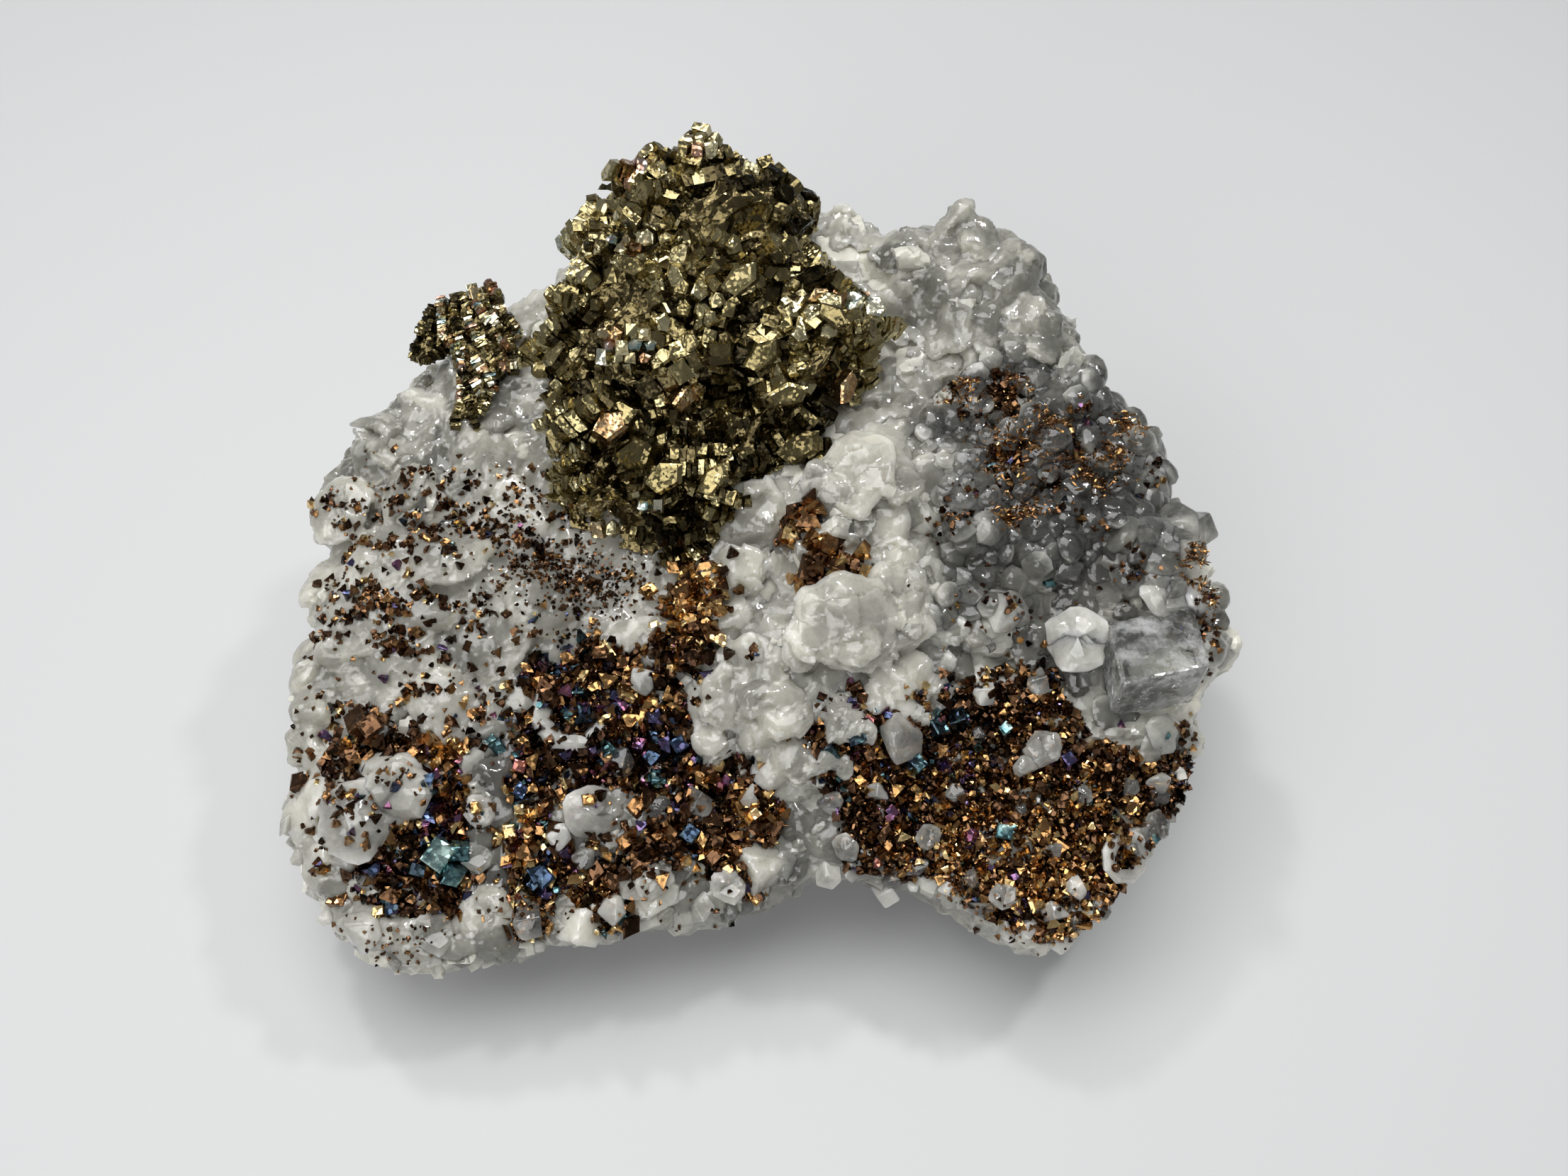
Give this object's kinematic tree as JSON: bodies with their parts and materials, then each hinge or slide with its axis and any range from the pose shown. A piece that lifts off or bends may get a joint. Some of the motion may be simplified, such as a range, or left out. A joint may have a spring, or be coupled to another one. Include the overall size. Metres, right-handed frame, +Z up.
{
  "type": "peacock ore",
  "caption": "Rough mineral specimen: a hill of white calcite crystals that carries a brassy mound and crusts of tarnished, iridescent copper ore, and rests on a small flat spot.",
  "frame": {"origin": "Middle of the flat spot that the specimen rests on.", "axes": "+X runs along the broad front edge, to the right as seen from the front; +Y runs from the low front edge to the tall back; +Z is up."},
  "size_m": [0.1321, 0.1108, 0.0718],
  "materials": {
    "white_calcite": "glassy",
    "clear_calcite": "glassy",
    "brassy_ore": "metallic sheen",
    "tarnished_ore": "metallic sheen, iridescent"
  },
  "bodies": {
    "root": {"calcite_matrix": "white_calcite", "clear_calcite_rhomb": "clear_calcite", "brassy_mound": "brassy_ore", "brassy_spray": "brassy_ore", "crust_front_left": "tarnished_ore", "crust_front_middle": "tarnished_ore", "crust_centre": "tarnished_ore", "crust_front_right": "tarnished_ore", "crust_knoll": "tarnished_ore"}
  },
  "joints": []
}
